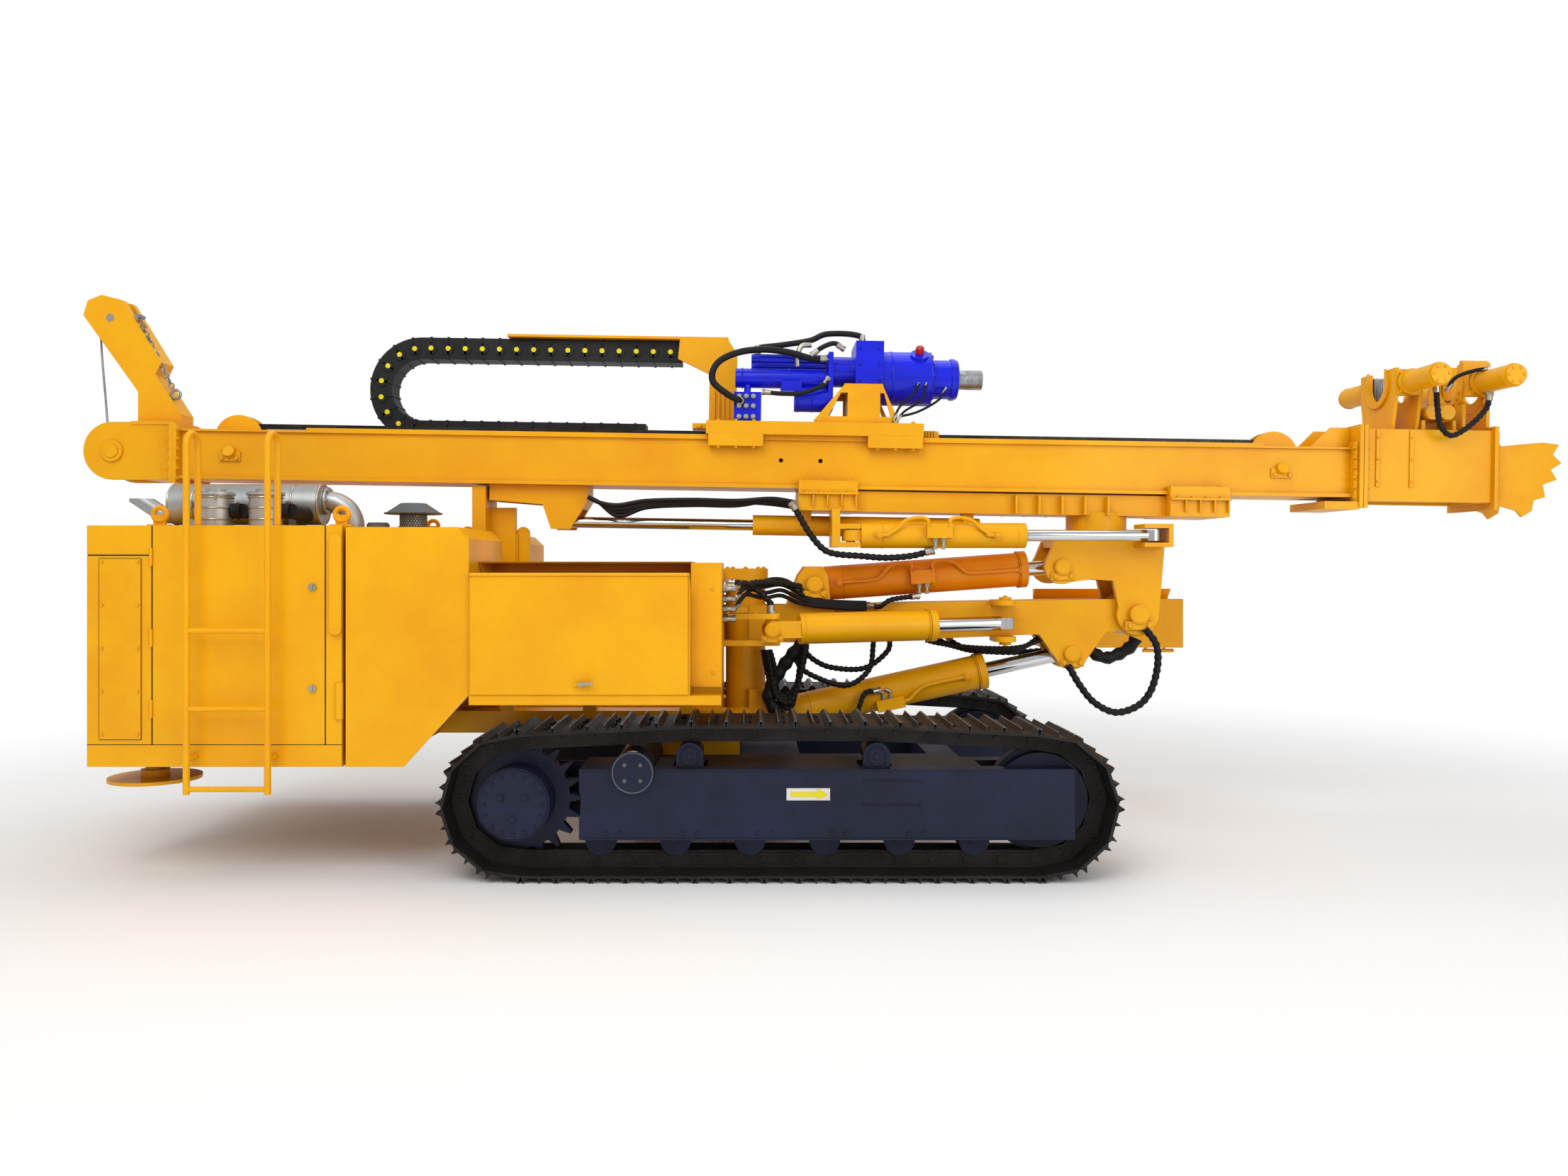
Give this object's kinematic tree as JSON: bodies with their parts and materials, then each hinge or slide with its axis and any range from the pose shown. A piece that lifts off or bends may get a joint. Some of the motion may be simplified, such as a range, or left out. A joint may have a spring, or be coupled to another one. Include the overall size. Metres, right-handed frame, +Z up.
{
  "type": "crawler drilling rig",
  "caption": "Yellow crawler drilling rig with an engine house, lifting boom, tilting and sliding mast, blue rotary head on a fed carriage, rod clamps and a hose chain",
  "frame": {"origin": "middle of the machine on the ground", "axes": "+X to the front, where the mast's rod clamps are; +Y to the far side away from the ladder; +Z up"},
  "size_m": [8.4579, 2.256, 3.117],
  "materials": {
    "amber_paint": "semi-gloss orange",
    "black_plastic": "black",
    "blue_black_paint": "satin blue-black",
    "chromed_rod": "polished",
    "engine_iron": "dark",
    "exhaust_steel": "silver",
    "head_blue": "gloss blue",
    "hose_rubber": "black",
    "track_steel": "dark cast steel",
    "yellow_paint": "semi-gloss machine yellow"
  },
  "bodies": {
    "chassis": {"track_frame_near": "blue_black_paint", "track_frame_far": "blue_black_paint", "track_near": "track_steel", "track_far": "track_steel", "drive_near": "blue_black_paint", "drive_far": "blue_black_paint", "rollers_near": "blue_black_paint", "rollers_far": "blue_black_paint", "chassis_frame": "yellow_paint", "engine_hood": "yellow_paint", "engine_block": "engine_iron", "exhaust": "exhaust_steel", "fuel_tank": "yellow_paint", "oil_tank": "yellow_paint", "rain_cap": "black_plastic", "control_box": "yellow_paint", "control_levers": "black_plastic", "ladder": "yellow_paint", "mast_rest": "yellow_paint", "boom_post": "yellow_paint", "base_hoses": "hose_rubber"},
    "door": {"control_door": "yellow_paint"},
    "jack_near": {"jack_near": "yellow_paint"},
    "jack_far": {"jack_far": "yellow_paint"},
    "console": {"console_arm": "yellow_paint", "console_box": "yellow_paint"},
    "knuckle": {"swing_knuckle": "yellow_paint"},
    "boom": {"boom": "yellow_paint", "boom_hoses": "hose_rubber"},
    "lift_barrel": {"lift_barrel": "yellow_paint"},
    "lift_rod": {"lift_rod": "chromed_rod"},
    "tilt_barrel": {"tilt_barrel": "amber_paint"},
    "tilt_rod": {"tilt_rod": "chromed_rod"},
    "level_pin": {"tilt_pin": "track_steel"},
    "bracket": {"tilt_bracket": "yellow_paint"},
    "swing_cross": {"swing_cross": "yellow_paint"},
    "swing_barrel": {"swing_barrel": "yellow_paint"},
    "swing_rod": {"swing_rod": "chromed_rod"},
    "cradle": {"cradle": "yellow_paint", "cradle_hose": "hose_rubber"},
    "slew_barrel": {"slew_barrel": "yellow_paint"},
    "slew_rod": {"slew_rod": "chromed_rod"},
    "mast": {"mast_beam": "yellow_paint", "mast_tail": "yellow_paint", "feed_chain": "track_steel", "slide_rod": "chromed_rod", "clamp_box": "yellow_paint", "spade": "yellow_paint", "fixed_clamp": "yellow_paint", "clamp_hoses": "hose_rubber"},
    "winch": {"winch_drum": "track_steel"},
    "sheave": {"head_sheave": "track_steel"},
    "carriage": {"carriage": "yellow_paint", "rotary_head": "head_blue", "head_hoses": "hose_rubber"},
    "spindle": {"spindle": "track_steel"},
    "hose_chain": {"energy_chain": "black_plastic"},
    "jaw_near": {"jaw_near": "track_steel"},
    "jaw_far": {"jaw_far": "track_steel"},
    "break_clamp": {"break_clamp": "yellow_paint"}
  },
  "joints": [
    {"name": "door_lift", "type": "hinge", "parent": "chassis", "child": "door", "pos_m": [-1.2, -1.076, 1.512], "axis": [-1, 0, 0], "range_deg": [0, 100]},
    {"name": "jack_near_down", "type": "slide", "parent": "chassis", "child": "jack_near", "axis": [0, 0, -1], "range_m": [0, 0.44]},
    {"name": "jack_far_down", "type": "slide", "parent": "chassis", "child": "jack_far", "axis": [0, 0, -1], "range_m": [0, 0.44]},
    {"name": "console_swing", "type": "hinge", "parent": "chassis", "child": "console", "pos_m": [-0.35, 0.56, 1.2], "axis": [0, 0, 1], "range_deg": [0, 50]},
    {"name": "boom_swing", "type": "hinge", "parent": "chassis", "child": "knuckle", "pos_m": [-0.4, 0, 1.05], "axis": [0, 0, 1], "range_deg": [-14, 14], "deforming": ["base_hoses"]},
    {"name": "boom_lift", "type": "hinge", "parent": "knuckle", "child": "boom", "pos_m": [0.06, 0, 1.235], "axis": [0, -1, 0], "range_deg": [0, 40]},
    {"name": "lift_barrel_turn", "type": "hinge", "parent": "knuckle", "child": "lift_barrel", "pos_m": [-0.19, 0, 0.69], "axis": [0, -1, 0], "range_deg": [0, 30.44]},
    {"name": "lift_rod_slide", "type": "slide", "parent": "lift_barrel", "child": "lift_rod", "axis": [0.977, 0, 0.2134], "range_m": [0, 0.2592]},
    {"name": "tilt_barrel_turn", "type": "hinge", "parent": "knuckle", "child": "tilt_barrel", "pos_m": [-0.007, 0, 1.449], "axis": [0, -1, 0], "range_deg": [0, 40.8]},
    {"name": "tilt_rod_slide", "type": "slide", "parent": "tilt_barrel", "child": "tilt_rod", "axis": [0.9975, 0, 0.0709], "range_m": [0, 0.7258]},
    {"name": "level_turn", "type": "hinge", "parent": "boom", "child": "level_pin", "pos_m": [1.83, 0, 1.28], "axis": [0, -1, 0], "range_deg": [-40.8, 0]},
    {"name": "mast_tilt", "type": "hinge", "parent": "level_pin", "child": "bracket", "pos_m": [1.83, 0, 1.28], "axis": [0, 1, 0], "range_deg": [0, 90], "deforming": ["boom_hoses"]},
    {"name": "swing_cross_turn", "type": "hinge", "parent": "chassis", "child": "swing_cross", "pos_m": [-0.254, -0.45, 1.209], "axis": [0, 0, 1], "range_deg": [-15.45, 15.45]},
    {"name": "swing_barrel_turn", "type": "hinge", "parent": "swing_cross", "child": "swing_barrel", "pos_m": [-0.254, -0.45, 1.209], "axis": [0.1507, -0.9886, 0], "range_deg": [0, 29.66]},
    {"name": "swing_rod_slide", "type": "slide", "parent": "swing_barrel", "child": "swing_rod", "axis": [0.9884, 0.1507, 0.0188], "range_m": [-0.1172, 0.1172]},
    {"name": "mast_slew", "type": "hinge", "parent": "bracket", "child": "cradle", "pos_m": [1.64, 0, 1.8], "axis": [0, 0, -1], "range_deg": [-9, 9], "deforming": ["cradle_hose"]},
    {"name": "slew_barrel_turn", "type": "hinge", "parent": "cradle", "child": "slew_barrel", "pos_m": [0.187, -0.3, 1.724], "axis": [0, 0, -1], "range_deg": [-1.26, 1.26]},
    {"name": "slew_rod_slide", "type": "slide", "parent": "slew_barrel", "child": "slew_rod", "axis": [1, 0, 0], "range_m": [-0.0489, 0.0489]},
    {"name": "mast_slide", "type": "slide", "parent": "cradle", "child": "mast", "axis": [-0.9999, 0, 0.0161], "range_m": [-0.85, 0]},
    {"name": "winch_turn", "type": "hinge", "parent": "mast", "child": "winch", "pos_m": [-4.01, 0, 2.212], "axis": [0, 1, 0], "continuous": true},
    {"name": "sheave_turn", "type": "hinge", "parent": "mast", "child": "sheave", "pos_m": [-4.06, 0, 2.985], "axis": [0, 1, 0], "continuous": true},
    {"name": "feed", "type": "slide", "parent": "mast", "child": "carriage", "axis": [0.9999, 0, -0.0161], "range_m": [-2.4, 1.85]},
    {"name": "hose_chain_slide", "type": "slide", "parent": "mast", "child": "hose_chain", "axis": [0.9999, 0, -0.0161], "range_m": [-1.22, 0.94]},
    {"name": "spindle_turn", "type": "hinge", "parent": "carriage", "child": "spindle", "pos_m": [0.97242, 0, 2.63447], "axis": [0.9999, 0, -0.0161], "continuous": true},
    {"name": "jaw_near_slide", "type": "slide", "parent": "mast", "child": "jaw_near", "axis": [0, 1, 0], "range_m": [0, 0.045]},
    {"name": "jaw_far_slide", "type": "slide", "parent": "mast", "child": "jaw_far", "axis": [0, -1, 0], "range_m": [0, 0.046]},
    {"name": "break_turn", "type": "hinge", "parent": "mast", "child": "break_clamp", "pos_m": [3.76506, 0, 2.58962], "axis": [0.9999, 0, -0.0161], "range_deg": [-12, 12], "deforming": ["clamp_hoses"]}
  ],
  "couplings": [
    {"joint": "lift_barrel_turn", "follows": "boom_lift", "ratio": 0.7461},
    {"joint": "lift_rod_slide", "follows": "boom_lift", "m_per_rad": 0.36404},
    {"joint": "tilt_barrel_turn", "follows": "boom_lift", "ratio": 1},
    {"joint": "tilt_rod_slide", "follows": "mast_tilt", "m_per_rad": 0.45299},
    {"joint": "level_turn", "follows": "boom_lift", "ratio": -1},
    {"joint": "swing_cross_turn", "follows": "boom_swing", "ratio": 1.061},
    {"joint": "swing_barrel_turn", "follows": "boom_lift", "ratio": 0.727},
    {"joint": "swing_rod_slide", "follows": "boom_swing", "m_per_rad": 0.46136},
    {"joint": "slew_barrel_turn", "follows": "mast_slew", "ratio": -0.135},
    {"joint": "slew_rod_slide", "follows": "mast_slew", "m_per_rad": 0.2992},
    {"joint": "hose_chain_slide", "follows": "feed", "ratio": 0.5},
    {"joint": "jaw_far_slide", "follows": "jaw_near_slide", "ratio": 1}
  ]
}
